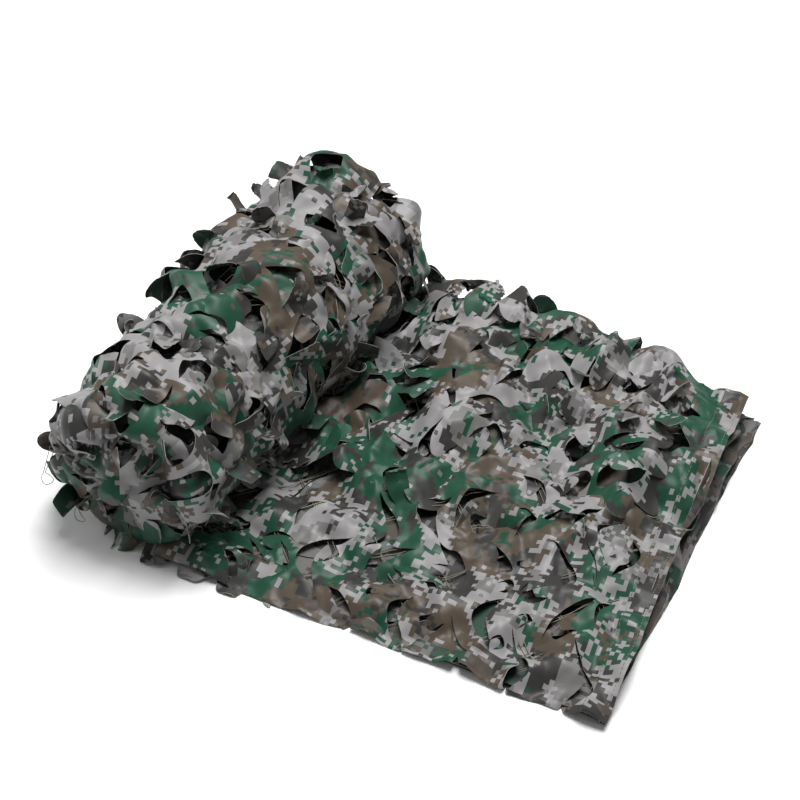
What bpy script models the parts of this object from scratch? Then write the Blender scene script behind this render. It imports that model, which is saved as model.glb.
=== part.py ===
"""A camouflage net, folded to a strip and partly unrolled.

Leaf-cut garnish cloth is sewn over a knotted string net. The net is folded back and forth
to a strip, and the strip is rolled from one end. The roll lies on a flat foot, and the
strip's loose end runs out from under it, four layers deep. Each leaf is a tongue that
stands out of the hole it was cut from.

Metres. +X runs from the roll to the end of the strip, +Y along the roll from its near end
to its far end, +Z up. The origin is the middle of the roll's flat foot, on the floor.
"""

import math

import bmesh
import bpy
from mathutils import Vector, noise

# The strip
STRIP_WIDTH = 0.50  # across the strip, which is the length of the roll
CLOTH_THICK = 0.0015
HEM_WIDTH = 0.028
HEM_THICK = 0.003  # cloth turned over and sewn down

# The roll
ROLL_RADIUS = 0.088  # to the cloth between the leaves
ROLL_HALF_LENGTH = 0.243
FAR_SWELL = 0.018  # the roll is this much fatter at its far end
ROLL_LUMP = 0.009
LUMP_SIZE = 0.085
ROLL_CELLS_ROUND = 12
ROLL_CELLS_ALONG = 9
ROUND_STEP = math.pi / ROLL_CELLS_ROUND  # the lattice has two steps to a cell
AXIS_HEIGHT = ROLL_RADIUS * math.cos(ROUND_STEP)  # so that one cell's width lies flat on the floor
LEAFY_ROUND = range(2, 11)  # the cells under the roll lie flat, with no leaf standing
PIT_DEPTH = 0.009
END_LEAF_SHARES = (1.0, 0.84, 0.68)  # radii of the leaf cells that ring each end
END_COIL_SHARES = (0.56, 0.44, 0.32, 0.20, 0.08)  # radii of the coils inside them
COIL_PITCH = 0.24  # of the roll's radius
COIL_DEPTH = 0.006

# The loose end
LOOSE_START = 0.0512
LOOSE_END = 0.530
START_HEIGHT = 0.01215  # top layer above bottom layer where the strip leaves the roll
NEAR_HEIGHT = 0.0115  # the same at the near edge
FAR_RISE = 0.043  # how much higher the ruffled far edge stands
TROUGH_DEPTH = 0.010
LEAFY_START = 0.108
LEAF_COLUMNS = 8
LEAF_ROWS = 9
FOLD_STEPS = 3

# One row for each layer of the strip, from the floor up.
# share: its height as a share of the top layer's; near, far: where it folds or ends;
# skew: how far its far corner lies back from the end of the strip.
LAYERS = (
    {"share": 0.00, "near": -0.251, "far": 0.238, "skew": 0.000, "trim": 0.000},
    {"share": 0.27, "near": -0.251, "far": 0.243, "skew": 0.008, "trim": 0.002},
    {"share": 0.56, "near": -0.246, "far": 0.243, "skew": 0.016, "trim": 0.001},
    {"share": 1.00, "near": -0.246, "far": 0.240, "skew": 0.026, "trim": 0.003},
)

# The string net under the top layer
STRING_WIDE = 0.0018
STRING_THICK = 0.0010
STRING_SLACK = 0.0021  # it hangs this far below the cloth
MESH_PITCH = 0.078
NET_X = (0.104, 5)  # first string, number of meshes
NET_Y = (-0.233, 6)

CELL_SWAY = 0.010  # how far the lattice of leaves is pulled out of its straight rows
SWAY_SIZE = 0.10

# One leaf: how far along its cell, and the half width there, as shares of the cell.
HOLE_OUTLINE = ((0.14, 0.29), (0.46, 0.38), (0.88, 0.09))
PIT_OUTLINE = ((0.24, 0.20), (0.46, 0.28), (0.80, 0.05))
ROOT_STRIP = 0.045  # of the cell: the width of the strip a solid tongue grows from
# How far along the tongue, and its half width there as a share of the cell.
TONGUE_SECTIONS = ((0.36, 0.31), (0.74, 0.26), (1.00, 0.05))
# A cell's corners and edge middles in turn, as lattice steps from its first corner.
CELL_RIM = ((0, 0), (1, 0), (2, 0), (2, 1), (2, 2), (1, 2), (0, 2), (0, 1))

PRINT_GREY = (0.36, 0.36, 0.36, 1.0)
PRINT_GREEN = (0.05, 0.16, 0.11, 1.0)
STRING_OLIVE = (0.20, 0.20, 0.14, 1.0)


def smooth(value):
    """0 to 1 with level ends."""
    value = min(1.0, max(0.0, value))
    return value * value * (3 - 2 * value)


def ripple(u, v, size, seed):
    """A smooth uneven field, about -1 to 1, with bumps of the given size."""
    return noise.noise(Vector((u / size, v / size, seed * 7.31)))


def sway(u, v, seed):
    """How far a place in the cloth is pulled along each of its two directions."""
    return CELL_SWAY * ripple(u, v, SWAY_SIZE, seed), CELL_SWAY * ripple(u, v, SWAY_SIZE, seed + 0.5)


def scatter(column, row, seed):
    """A number from 0 to 1 that looks random but belongs to one cell."""
    wave = math.sin(column * 12.9898 + row * 78.233 + seed * 37.719) * 43758.5453
    return wave - math.floor(wave)


def make_material(name, colour, roughness):
    material = bpy.data.materials.new(name)
    material.use_nodes = True
    shader = material.node_tree.nodes["Principled BSDF"]
    shader.inputs["Base Color"].default_value = colour
    shader.inputs["Roughness"].default_value = roughness
    shader.inputs["Metallic"].default_value = 0.0
    return material


def make_object(name, mesh_in_work, material):
    """Turns a bmesh into a named object with its faces pointing out, without points that no face uses."""
    unused = [vert for vert in mesh_in_work.verts if not vert.link_faces]
    bmesh.ops.delete(mesh_in_work, geom=unused, context="VERTS")
    bmesh.ops.recalc_face_normals(mesh_in_work, faces=mesh_in_work.faces)
    mesh = bpy.data.meshes.new(name)
    mesh_in_work.to_mesh(mesh)
    mesh_in_work.free()
    mesh.materials.append(material)
    made = bpy.data.objects.new(name, mesh)
    bpy.context.scene.collection.objects.link(made)
    return made


# ---------------------------------------------------------------- leaves


def turned(along, across, quarter):
    """A point of a leaf that points along +s, turned by quarter turns in its cell."""
    s, t = along - 0.5, across
    for _ in range(quarter):
        s, t = -t, s
    return s + 0.5, t + 0.5


def leaf_outline(outline, quarter):
    """The points down one side of a leaf-shaped outline and back up the other."""
    one_side = [turned(along, -half, quarter) for along, half in outline]
    return one_side + [turned(along, half, quarter) for along, half in reversed(outline)]


def add_hole(mesh, rim, place, quarter):
    """Fills a cell from its rim of 8 points to a leaf-shaped hole, and returns the hole's 6 points.

    The hole's points run from the hinge along one side, round the tip and back.
    """
    hole = [mesh.verts.new(place(s, t, 0.0)) for s, t in leaf_outline(HOLE_OUTLINE, quarter)]
    c00, m0, c10, m1, c11, m2, c01, m3 = (rim[(i + 2 * quarter) % 8] for i in range(8))
    hinge_a, side_a, tip_a, tip_b, side_b, hinge_b = hole
    for corners in (
        (m3, c00, hinge_a),
        (m3, hinge_a, hinge_b),
        (m3, hinge_b, c01),
        (c00, m0, side_a, hinge_a),
        (m0, c10, tip_a, side_a),
        (c10, m1, tip_a),
        (m1, tip_b, tip_a),
        (m1, c11, tip_b),
        (c11, m2, side_b, tip_b),
        (m2, c01, hinge_b, side_b),
    ):
        mesh.faces.new(corners)
    return hole


def leaf_frame(place, quarter):
    """The middle of the hinge, the directions along the leaf and out of the cloth, and the cell's width."""
    hinge_along, hinge_half = HOLE_OUTLINE[0]
    middle = turned(hinge_along, 0.0, quarter)
    root = place(*middle, 0.0)
    along = (place(*turned(0.80, 0.0, quarter), 0.0) - root).normalized()
    sides = [place(*turned(hinge_along, half, quarter), 0.0) for half in (-hinge_half, hinge_half)]
    width = (sides[1] - sides[0]) / (2 * hinge_half)
    out = along.cross(width).normalized()
    if out.dot(place(*middle, 0.01) - root) < 0:
        out.negate()
    return root, along, width, out


def tongue_sections(place, leaf):
    """The middle, half-width direction and outward direction of a tongue at each section."""
    root, along, width, out = leaf_frame(place, leaf["quarter"])
    across = width.normalized()
    length, rise, curl, twist = leaf["length"], leaf["rise"], leaf["curl"], leaf["twist"]
    sections, reached, middle = [], 0.0, root
    for share, half_width in TONGUE_SECTIONS:
        angle = rise + curl * (share + reached) / 2
        step = (share - reached) * length
        middle = middle + along * math.cos(angle) * step + out * math.sin(angle) * step
        turn = twist * share
        tip_angle = rise + curl * share
        outward = out * math.cos(tip_angle) - along * math.sin(tip_angle)
        wide = across * math.cos(turn) + outward * math.sin(turn)
        outward = outward * math.cos(turn) - across * math.sin(turn)
        sections.append((middle, wide * half_width * width.length, outward))
        reached = share
    return sections


def add_thin_tongue(mesh, hinge_a, hinge_b, sections):
    """A tongue one face thick, which a Solidify modifier thickens with the cloth it grows from."""
    last_a, last_b = hinge_a, hinge_b
    for middle, wide, _ in sections:
        next_a, next_b = mesh.verts.new(middle - wide), mesh.verts.new(middle + wide)
        mesh.faces.new((last_a, last_b, next_b, next_a))
        last_a, last_b = next_a, next_b


def add_solid_tongue(mesh, root, sections, thick):
    """A tongue of real thickness, grown from the four points of its root."""
    last = root
    for middle, wide, outward in sections:
        half = outward * (thick / 2)
        corners = (
            middle - wide + half,
            middle + wide + half,
            middle + wide - half,
            middle - wide - half,
        )
        ring = [mesh.verts.new(corner) for corner in corners]
        for i in range(4):
            mesh.faces.new((last[i], last[(i + 1) % 4], ring[(i + 1) % 4], ring[i]))
        last = ring
    mesh.faces.new(last)


# ---------------------------------------------------------------- the roll


def roll_point(step, y, lift):
    """A point of the roll's surface. Step counts the lattice round from the foot's left edge."""
    angle = -math.pi / 2 + (step - 1) * ROUND_STEP
    free = smooth(0.75 * (1 + math.sin(angle)) - 0.12)  # 0 where the roll's weight presses it flat
    loose = free * smooth((ROLL_HALF_LENGTH - abs(y)) / 0.05)
    pulled_round, pulled_along = sway(angle * ROLL_RADIUS, y, 20)
    angle += loose * pulled_round / ROLL_RADIUS
    y += loose * pulled_along
    swell = FAR_SWELL * smooth((y + ROLL_HALF_LENGTH) / (2 * ROLL_HALF_LENGTH))
    lump = ROLL_LUMP * ripple(angle * ROLL_RADIUS, y, LUMP_SIZE, 1)
    radius = ROLL_RADIUS + free * (swell + lump) + lift
    height = AXIS_HEIGHT + radius * math.sin(angle)
    return Vector((radius * math.cos(angle), y, max(0.0, height)))


def roll_leaf(column, row):
    """How one leaf of the roll stands: steeper over the top, low and short near the floor.

    Lengths are in metres and angles in radians; quarter is which way the leaf points in its cell.
    """
    low = column in (LEAFY_ROUND[0], LEAFY_ROUND[-1])
    steepest = 44 if column < ROLL_CELLS_ROUND / 2 else 26  # the rising side's leaves lie closer
    return {
        "length": 0.030 if low else 0.034 + 0.014 * scatter(column, row, 1),
        "rise": math.radians(20 if low else 20 + steepest * scatter(column, row, 2)),
        "curl": math.radians(-28 + 62 * scatter(column, row, 3)),
        "twist": math.radians(44 * (scatter(column, row, 4) - 0.5)),
        "quarter": 0 if low else (0, 0, 1, 3)[int(4 * scatter(column, row, 5))],
    }


def add_pit_and_tongue(mesh, hole, place, leaf):
    """Sinks the hole to a pit, and grows its tongue from a narrow strip along the hinge."""
    quarter = leaf["quarter"]
    hinge_a, side_a, tip_a, tip_b, side_b, hinge_b = hole
    hinge_along, hinge_half = HOLE_OUTLINE[0]
    strip = [turned(hinge_along + ROOT_STRIP, half, quarter) for half in (-hinge_half, hinge_half)]
    root_a, root_b = (mesh.verts.new(place(s, t, 0.0)) for s, t in strip)
    mesh.faces.new((hinge_a, root_a, side_a))
    mesh.faces.new((hinge_b, side_b, root_b))
    edge = [root_a, side_a, tip_a, tip_b, side_b, root_b]
    floor = [mesh.verts.new(place(s, t, -PIT_DEPTH)) for s, t in leaf_outline(PIT_OUTLINE, quarter)]
    for i in range(6):
        mesh.faces.new((edge[i], edge[(i + 1) % 6], floor[(i + 1) % 6], floor[i]))
    mesh.faces.new(floor)
    sections = tongue_sections(place, leaf)
    add_solid_tongue(mesh, [hinge_a, hinge_b, root_b, root_a], sections, CLOTH_THICK)


def add_roll_side(mesh):
    """The roll's side, cell by cell. Returns the points of its near and far rims."""
    round_steps, along_steps = 2 * ROLL_CELLS_ROUND, 2 * ROLL_CELLS_ALONG
    pitch = 2 * ROLL_HALF_LENGTH / along_steps
    lattice = {}

    def point(i, j):
        key = (i % round_steps, j)
        if key not in lattice:
            lattice[key] = mesh.verts.new(roll_point(key[0], -ROLL_HALF_LENGTH + j * pitch, 0.0))
        return lattice[key]

    def plain(i, j):
        mesh.faces.new((point(i, j), point(i + 1, j), point(i + 1, j + 1), point(i, j + 1)))

    for column in range(ROLL_CELLS_ROUND):
        i = 2 * column
        if column not in LEAFY_ROUND:
            for j in range(along_steps):
                plain(i, j)
                plain(i + 1, j)
            continue
        shift = column % 2  # every other column stands half a cell further along
        for j in (0, along_steps - 1) if shift else ():
            plain(i, j)
            plain(i + 1, j)
        for row in range(ROLL_CELLS_ALONG - shift):
            j = 2 * row + shift
            # s runs down the clockwise side, so that the leaves lean the same way round
            rim = [point(i + 2 - p, j + q) for p, q in CELL_RIM]

            def place(s, t, lift, i=i, j=j):
                return roll_point(i + 2 * (1 - s), -ROLL_HALF_LENGTH + (j + 2 * t) * pitch, lift)

            leaf = roll_leaf(column, row)
            hole = add_hole(mesh, rim, place, leaf["quarter"])
            add_pit_and_tongue(mesh, hole, place, leaf)
    near = [point(i, 0) for i in range(round_steps)]
    far = [point(i, along_steps) for i in range(round_steps)]
    return near, far


def end_point(outward, step, share, lift):
    """A point of a wound end. The coils stand out and sink in by turns, and swing round in a spiral."""
    rim = roll_point(step, outward * ROLL_HALF_LENGTH, 0.0)
    turn = 2 * math.pi * (share / COIL_PITCH + outward * step / (2 * ROLL_CELLS_ROUND))
    depth = COIL_DEPTH * math.cos(turn) * smooth((END_LEAF_SHARES[-1] - share) / 0.1)
    height = AXIS_HEIGHT + (rim.z - AXIS_HEIGHT) * share
    return Vector((rim.x * share, rim.y + outward * (lift - depth), height))


def end_leaf(cell, outward):
    """How one leaf of a wound end stands."""
    return {
        "length": 0.022 + 0.014 * scatter(cell, outward, 11),
        "rise": math.radians(22 + 30 * scatter(cell, outward, 12)),
        "curl": math.radians(-20 + 50 * scatter(cell, outward, 13)),
        "twist": math.radians(30 * (scatter(cell, outward, 14) - 0.5)),
        "quarter": 0,
    }


def add_roll_end(mesh, rim, outward):
    """A wound end: a ring of leaf cells, and inside it the turned edges of the coils."""
    count = len(rim)
    outer, middle, inner = END_LEAF_SHARES
    rings = [rim]
    for share in (middle, inner) + END_COIL_SHARES:
        rings.append([mesh.verts.new(end_point(outward, i, share, 0.0)) for i in range(count)])
    for number in range(len(rings) - 1):
        for i in range(count):
            if number < 2 and i // 2 in LEAFY_ROUND:
                continue
            k = (i + 1) % count
            first, second = rings[number], rings[number + 1]
            mesh.faces.new((first[i], first[k], second[k], second[i]))
    mesh.faces.new(rings[-1])
    for cell in LEAFY_ROUND:
        i = 2 * cell
        # s runs from the coils out to the rim
        ring = [rings[2 - p][(i + q) % count] for p, q in CELL_RIM]

        def place(s, t, lift, i=i):
            return end_point(outward, i + 2 * t, inner + s * (outer - inner), lift)

        leaf = end_leaf(cell, outward)
        hole = add_hole(mesh, ring, place, leaf["quarter"])
        add_pit_and_tongue(mesh, hole, place, leaf)


def build_roll(material):
    mesh = bmesh.new()
    near, far = add_roll_side(mesh)
    add_roll_end(mesh, near, -1)
    add_roll_end(mesh, far, 1)
    return make_object("garnish_roll", mesh, material)


# ---------------------------------------------------------------- the loose end


def pile_height(x, y):
    """Height of the top layer's middle above the bottom layer's, at a place on the strip."""
    across = (y + STRIP_WIDTH / 2) / STRIP_WIDTH
    out = smooth((x - LOOSE_START) / 0.12)
    open_part = smooth(1.6 * across) * smooth((x - LOOSE_START - 0.01) / 0.10)
    height = START_HEIGHT + (NEAR_HEIGHT - START_HEIGHT) * out + FAR_RISE * smooth(1.08 * across) * out
    trough_line = 0.075 - 0.25 * (x - 0.34)
    trough = TROUGH_DEPTH * math.exp(-(((y - trough_line) / 0.035) ** 2)) * smooth((x - 0.24) / 0.12)
    lump = 0.006 * ripple(x, y, 0.08, 5)
    return height + open_part * (lump - trough)


def strip_end(layer, y):
    across = (y + STRIP_WIDTH / 2) / STRIP_WIDTH
    return LOOSE_END - layer["trim"] - layer["skew"] * smooth(1.3 * across)


def column_shares():
    """Where the lattice lines lie between the start and the end of the strip, as shares."""
    length = LOOSE_END - LOOSE_START
    first, last = (LEAFY_START - LOOSE_START) / length, 1 - HEM_WIDTH / length
    step = (last - first) / (2 * LEAF_COLUMNS)
    return [0.0, first / 2] + [first + k * step for k in range(2 * LEAF_COLUMNS + 1)] + [1.0]


def layer_point(layer, share, y, lift=0.0):
    """A point of one layer's middle surface."""
    x = LOOSE_START + share * (strip_end(layer, y) - LOOSE_START)
    loose = smooth((x - LOOSE_START) / 0.08) * smooth((LOOSE_END - 0.03 - x) / 0.08)
    loose *= smooth((y - layer["near"]) / 0.06) * smooth((layer["far"] - y) / 0.06) * layer["share"]
    pulled_x, pulled_y = sway(x, y, 30)
    x, y = x + loose * pulled_x, y + loose * pulled_y
    height = CLOTH_THICK / 2 + layer["share"] * pile_height(x, y)
    return Vector((x, y, height + lift))


def add_plain_layer(mesh, layer, shares, towards_far):
    """Lines of points across one plain layer, near to far or back."""
    count = 5
    lines = []
    for step in range(count + 1):
        run = step / count if towards_far else 1 - step / count
        y = layer["near"] + run * (layer["far"] - layer["near"])
        lines.append([mesh.verts.new(layer_point(layer, share, y)) for share in shares])
    return lines


def add_fold(mesh, lower, upper, at_far_edge, shares):
    """Lines of points round the bend from one layer up to the next."""
    outward = 1 if at_far_edge else -1
    edge = "far" if at_far_edge else "near"
    lines = []
    for step in range(1, FOLD_STEPS + 1):
        turn = math.pi * step / (FOLD_STEPS + 1)
        line = []
        for share in shares:
            low = layer_point(lower, share, lower[edge])
            high = layer_point(upper, share, upper[edge])
            bend = min(0.008, (high.z - low.z) / 2) * math.sin(turn)
            mixed = low.lerp(high, (1 - math.cos(turn)) / 2)
            line.append(mesh.verts.new(mixed + Vector((0, outward * bend, 0))))
        lines.append(line)
    return lines


def join_lines(mesh, lines):
    for first, second in zip(lines, lines[1:]):
        for k in range(len(first) - 1):
            mesh.faces.new((first[k], first[k + 1], second[k + 1], second[k]))


def loose_leaf(column, row):
    """How one leaf of the loose end stands: nearly shut near the front, ruffled at the back."""
    ruffle = smooth((row - 1.5 + 1.5 * scatter(column, row, 6)) / 5)
    if column == 0:
        ruffle = min(ruffle, 0.5)  # the roll leans over the first column
    return {
        "length": 0.035 + 0.012 * ruffle,
        "rise": math.radians(12 + 46 * ruffle * (0.5 + 0.5 * scatter(column, row, 7))),
        "curl": math.radians((-10 + 60 * scatter(column, row, 8)) * (0.3 + 0.7 * ruffle)),
        "twist": math.radians(36 * (scatter(column, row, 9) - 0.5) * ruffle),
        "quarter": (0, 0, 3, 1)[int(4 * scatter(column, row, 10))],
    }


def add_leafy_layer(mesh, layer, shares, first_line):
    """The top layer: leaf cells between a plain start and the hem. Returns the hem's points."""
    y_step = (layer["far"] - layer["near"]) / (2 * LEAF_ROWS)
    lattice = {(k, 0): vert for k, vert in enumerate(first_line)}

    def point(k, j):
        if (k, j) not in lattice:
            lattice[k, j] = mesh.verts.new(layer_point(layer, shares[k], layer["near"] + j * y_step))
        return lattice[k, j]

    last = len(shares) - 1
    for j in range(2 * LEAF_ROWS):
        for k in (0, 1, last - 1):
            mesh.faces.new((point(k, j), point(k + 1, j), point(k + 1, j + 1), point(k, j + 1)))
    for column in range(LEAF_COLUMNS):
        shift = column % 2  # every other column stands half a cell further along
        for k in (2 + 2 * column, 3 + 2 * column) if shift else ():
            for j in (0, 2 * LEAF_ROWS - 1):
                mesh.faces.new((point(k, j), point(k + 1, j), point(k + 1, j + 1), point(k, j + 1)))
        for row in range(LEAF_ROWS - shift):
            k, j = 2 + 2 * column, 2 * row + shift
            rim = [point(k + p, j + q) for p, q in CELL_RIM]
            width = shares[k + 2] - shares[k]

            def place(s, t, lift, k=k, j=j, width=width):
                y = layer["near"] + (j + 2 * t) * y_step
                return layer_point(layer, shares[k] + s * width, y, lift)

            leaf = loose_leaf(column, row)
            hole = add_hole(mesh, rim, place, leaf["quarter"])
            add_thin_tongue(mesh, hole[0], hole[-1], tongue_sections(place, leaf))
    return [vert for (k, _), vert in lattice.items() if k >= last - 1]


def build_loose_end(material):
    """The strip's four layers as one back-and-forth sheet, with its leaves and its hem."""
    mesh = bmesh.new()
    shares = column_shares()
    bottom, second, third, top = LAYERS
    lines = add_plain_layer(mesh, bottom, shares, towards_far=False)
    lines += add_fold(mesh, bottom, second, False, shares)
    lines += add_plain_layer(mesh, second, shares, towards_far=True)
    lines += add_fold(mesh, second, third, True, shares)
    lines += add_plain_layer(mesh, third, shares, towards_far=False)
    lines += add_fold(mesh, third, top, False, shares)
    lines.append([mesh.verts.new(layer_point(top, share, top["near"])) for share in shares])
    join_lines(mesh, lines)
    hem = add_leafy_layer(mesh, top, shares, lines[-1])
    mesh.verts.index_update()
    hem_numbers = [vert.index for vert in hem]
    all_numbers = range(len(mesh.verts))
    made = make_object("garnish_loose_end", mesh, material)
    group = made.vertex_groups.new(name="thickness")
    group.add(list(all_numbers), CLOTH_THICK / HEM_THICK, "REPLACE")
    group.add(hem_numbers, 1.0, "REPLACE")
    thicken = made.modifiers.new("thickness", "SOLIDIFY")
    thicken.thickness = HEM_THICK
    thicken.offset = 0.0
    thicken.vertex_group = group.name
    return made


# ---------------------------------------------------------------- the string net


def string_lines(first, meshes):
    """Edges of the strings and the middle of each mesh, along one direction, with what is string."""
    cuts, solid = [], []
    for number in range(meshes + 1):
        middle = first + number * MESH_PITCH
        cuts += [middle - STRING_WIDE / 2, middle + STRING_WIDE / 2]
        solid += [True, False]
        if number < meshes:
            cuts += [middle + MESH_PITCH * share for share in (0.25, 0.5, 0.75)]
            solid += [False, False, False]
    return cuts, solid[:-1]


def build_string_net(material):
    """The knotted net that carries the garnish, just under the loose end's top layer."""
    top = LAYERS[-1]
    drop = CLOTH_THICK / 2 + STRING_SLACK + STRING_THICK / 2
    across, is_string_x = string_lines(*NET_X)
    deep, is_string_y = string_lines(*NET_Y)
    mesh = bmesh.new()
    verts = {}

    def point(i, j):
        if (i, j) not in verts:
            x, y = across[i], deep[j]
            height = CLOTH_THICK / 2 + top["share"] * pile_height(x, y) - drop
            verts[i, j] = mesh.verts.new((x, y, height))
        return verts[i, j]

    for i in range(len(across) - 1):
        for j in range(len(deep) - 1):
            if is_string_x[i] or is_string_y[j]:
                corners = ((i, j), (i + 1, j), (i + 1, j + 1), (i, j + 1))
                mesh.faces.new([point(p, q) for p, q in corners])
    made = make_object("string_net", mesh, material)
    thicken = made.modifiers.new("thickness", "SOLIDIFY")
    thicken.thickness = STRING_THICK
    thicken.offset = 0.0
    return made


def main():
    for old in list(bpy.data.objects):
        bpy.data.objects.remove(old)
    grey_cloth = make_material("printed_oxford_cloth", PRINT_GREY, 0.62)
    green_cloth = make_material("printed_oxford_cloth_rolled", PRINT_GREEN, 0.62)
    string = make_material("olive_string", STRING_OLIVE, 0.8)
    build_roll(green_cloth)
    build_loose_end(grey_cloth)
    build_string_net(string)


main()
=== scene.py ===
"""The camouflage net's looks: garnish cloth with its leaf cuts and print, strings, hem and roll.

Metres, in the frame of the solids: +X from the roll to the end of the strip, +Y along the roll
away from the camera's side, +Z up, and the floor at 0.
"""
import math

import bmesh
import bpy
import numpy as np
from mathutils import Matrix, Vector, geometry, kdtree, noise


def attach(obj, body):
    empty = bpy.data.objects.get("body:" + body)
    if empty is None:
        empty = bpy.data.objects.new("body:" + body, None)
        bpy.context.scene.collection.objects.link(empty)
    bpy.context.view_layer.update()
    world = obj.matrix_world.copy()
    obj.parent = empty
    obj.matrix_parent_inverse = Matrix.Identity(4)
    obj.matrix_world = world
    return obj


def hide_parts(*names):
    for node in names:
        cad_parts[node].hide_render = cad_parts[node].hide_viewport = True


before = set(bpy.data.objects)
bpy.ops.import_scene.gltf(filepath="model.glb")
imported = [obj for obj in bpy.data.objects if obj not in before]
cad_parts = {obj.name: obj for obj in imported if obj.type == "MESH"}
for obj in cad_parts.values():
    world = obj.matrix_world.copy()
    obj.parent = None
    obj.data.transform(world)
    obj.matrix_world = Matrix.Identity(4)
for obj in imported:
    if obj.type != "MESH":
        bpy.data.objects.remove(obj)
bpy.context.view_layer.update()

MM = 0.001

# ---- sizes

ROLL_RADIUS = 88 * MM
AXIS_HEIGHT = ROLL_RADIUS * math.cos(math.pi / 12)
ROLL_ROUND = 2 * math.pi * ROLL_RADIUS
ROLL_STRAIGHT = 224 * MM  # half length, up to where its ends turn in
END_BEND = 18 * MM
END_REACH = 56 * MM  # of cloth past the straight part, round the end's edge and in
FAR_SWELL = 18 * MM  # how much thicker the roll is at its far end
ROLL_LUMP = 9 * MM
LUMP_SIZE = 85 * MM
ROLL_PACKING = 16 * MM  # height of the packing creases on the roll
END_LIMITS = (-272 * MM, 284 * MM)  # of the leaves on the roll's ends, along Y
LEAF_REACH = 140 * MM  # the furthest that a leaf stands from the roll's axis
END_CORE = 6 * MM  # least radius of the cloth on the roll's ends

STRIP_WIDTH = 500 * MM
LOOSE_START = 51.2 * MM  # where the strip comes out from under the roll
LOOSE_END = 530 * MM
START_HEIGHT = 12.15 * MM  # of the layers there
NEAR_HEIGHT = 11.5 * MM  # and along the strip's near side
NEAR_DROP = 5 * MM  # where the layers are pressed thin, at the near fold
FAR_RISE = 43 * MM  # how much higher the strip is at its far fold
TROUGH_DEPTH = 10 * MM  # of the dip that runs over the strip's far half to the hem
HEM_WIDTH = 28 * MM
STRIP_START = 0.036  # where its layers start, under the roll
TIP_REACH = 26 * MM  # the furthest that loose garnish stands over the strip
TOP_PACKING = 10 * MM  # height of the packing creases on the strip's top layer
TOP_NEAR_FOLD = -249 * MM
TUCK = 22 * MM  # of the top layer, turned under at its near fold
FOLD_BEND = 1.9 * MM  # radius of that fold
LAYER_GAP = 3.5 * MM  # from the top layer down to what lies below it
LAYER_LONG = 486 * MM  # of cloth from fold to fold in the lower layers
LAYER_RIM = LAYER_LONG / 2  # from the strip's middle line to a lower layer's fold
SIDE_LONG = 482 * MM  # of the fold along the strip's end
SIDE_DEEP = 50 * MM  # the most that it hangs down

CLOTH_THICK = 0.45 * MM
SLACK = 1.06  # spare cloth in the ruffles
CLOTH_HOLD = 0.10  # how strongly the ground cloth keeps its place while it settles
LEAF_HOLD = 0.12  # and how strongly its leaves do
BEND_HOLD = 0.06  # how it resists a bend, where 1 is how it resists a stretch
OVERSHOOT = 2.6  # how many times its neighbours' mean push a point moves in a round
LEAF_CRUMPLE = 3.5 * MM
SMOOTH_UNDER = math.radians(30)  # creases sharper than this show as edges
ROW_SPACING = 0.87  # from row to row of even triangles, in steps
FACET_ROWS = 1.155  # rows of even facets, for each facet's size
PRINT_PIXEL = 4.7 * MM
LEAF_LONG = 57 * MM
LEAF_ALONG = 94 * MM  # from leaf to leaf in a row
LEAF_ACROSS = 37 * MM  # from row to row
STRING_RADIUS = 0.5 * MM
NET_PITCH = 66 * MM
STITCH_PITCH = 4.6 * MM
THREAD_DRAWN = 0.9 * MM
WAVE_PITCH = 2 * math.pi / 20  # of Blender's wave pattern at scale 1
FLOOR_GAP = 0.5 * MM  # least height of a cloth's middle over the floor


# ---- small helpers


def smooth(value):
    """0 to 1 with level ends."""
    value = np.clip(value, 0.0, 1.0)
    return value * value * (3 - 2 * value)


def ramp(value, start, span):
    """0 up to a start, 1 from a span further on. A negative span rises downwards."""
    return smooth((value - start) / span)


def ripple(u, v, size, seed):
    """A smooth uneven field, about -1 to 1, with bumps of the given size."""
    u, v = np.broadcast_arrays(u, v)
    depth = seed * 7.31
    flat = [noise.noise((a, b, depth)) for a, b in zip((u / size).ravel(), (v / size).ravel())]
    return np.array(flat).reshape(u.shape)


def waves(u, v, *rows):
    """Ripples on one another, each with its height and its size in millimetres and its seed."""
    return sum(height * MM * ripple(u, v, size * MM, seed) for height, size, seed in rows)


def corner_height(i, j, seed):
    """An even spread of heights, -1 to 1, one for each corner of the facets, mixed from its numbers."""
    mixed = (i.astype(np.int64) * 73856093) ^ (j.astype(np.int64) * 19349663) ^ (seed * 83492791)
    mixed = (mixed ^ (mixed >> 13)) * 1274126177
    return ((mixed >> 8) & 0xFFFF) / 32767.5 - 1


def facets(u, v, size, seed):
    """Flat facets of about one size that meet in sharp creases, -1 to 1."""
    u, v = np.broadcast_arrays(u, v)
    warp = 0.45 * size * ripple(u, v, 1.8 * size, seed)
    j = (v - warp) / size * FACET_ROWS
    i = (u + warp) / size - j / 2
    i0, j0 = np.floor(i), np.floor(j)
    di, dj = i - i0, j - j0
    near, right = corner_height(i0, j0, seed), corner_height(i0 + 1, j0, seed)
    left, far = corner_height(i0, j0 + 1, seed), corner_height(i0 + 1, j0 + 1, seed)
    lower = near + di * (right - near) + dj * (left - near)
    upper = far + (1 - di) * (left - far) + (1 - dj) * (right - far)
    return np.where(di + dj < 1, lower, upper)


def crumple(u, v, seed):
    """Sharp packing creases at two sizes, about -1 to 1."""
    return 0.75 * facets(u, v, 30 * MM, seed) + 0.25 * facets(u, v, 13 * MM, seed + 3)


def unit(vector):
    return vector / np.linalg.norm(vector)


def placed(name, data):
    """A new object in the scene, at the origin."""
    made = bpy.data.objects.new(name, data)
    bpy.context.scene.collection.objects.link(made)
    return made


# ---- materials


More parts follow.
